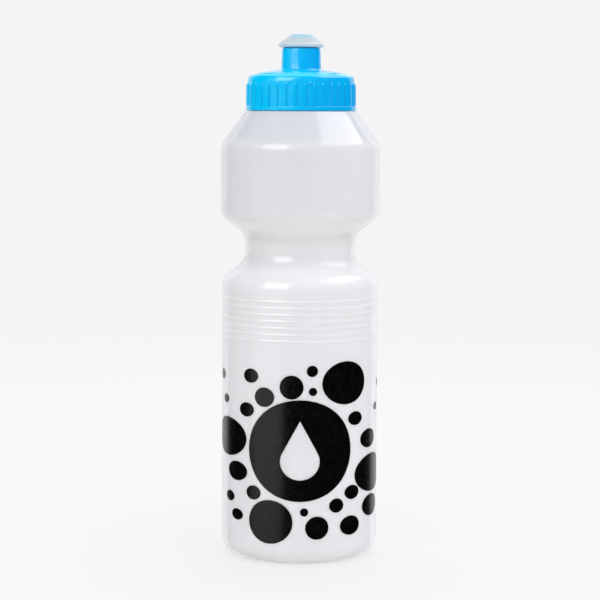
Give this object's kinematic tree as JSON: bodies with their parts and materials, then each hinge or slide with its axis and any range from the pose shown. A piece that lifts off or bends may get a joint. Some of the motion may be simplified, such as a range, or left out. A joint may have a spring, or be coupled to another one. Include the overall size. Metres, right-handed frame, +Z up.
{
  "type": "sports squeeze bottle",
  "caption": "Waisted squeeze bottle with a ribbed screw cap, a sealing ring and a push-pull drinking valve on a spout tower.",
  "frame": {"origin": "centre of the base, on the surface the bottle stands on", "axes": "+Z up along the bottle's axis; the front of the printed design faces -Y; +X to the right seen from the front"},
  "size_m": [0.0749, 0.0748, 0.246],
  "materials": {
    "frosted_bottle": "translucent frosted polyethylene, satin",
    "blue_cap": "sky blue moulded polypropylene, semi-gloss",
    "seal_rubber": "soft natural elastomer, matt",
    "frosted_valve": "translucent soft polyethylene, satin",
    "black_print": "black screen-printed ink, gloss"
  },
  "bodies": {
    "bottle": {"bottle_body": "frosted_bottle"},
    "seal": {"sealing_ring": "seal_rubber"},
    "cap": {"screw_cap": "blue_cap"},
    "valve": {"pull_valve": "frosted_valve"}
  },
  "joints": [
    {"name": "cap_lift", "type": "slide", "parent": "bottle", "child": "seal", "axis": [0, 0, 1], "range_m": [0, 0.018]},
    {"name": "cap_turn", "type": "hinge", "parent": "seal", "child": "cap", "pos_m": [0, 0, 0.2106], "axis": [0, 0, 1], "range_deg": [0, 1080]},
    {"name": "valve_pull", "type": "slide", "parent": "cap", "child": "valve", "axis": [0, 0, 1], "range_m": [0, 0.0065]}
  ],
  "couplings": [
    {"joint": "cap_lift", "follows": "cap_turn", "m_per_rad": 0.00095493}
  ]
}
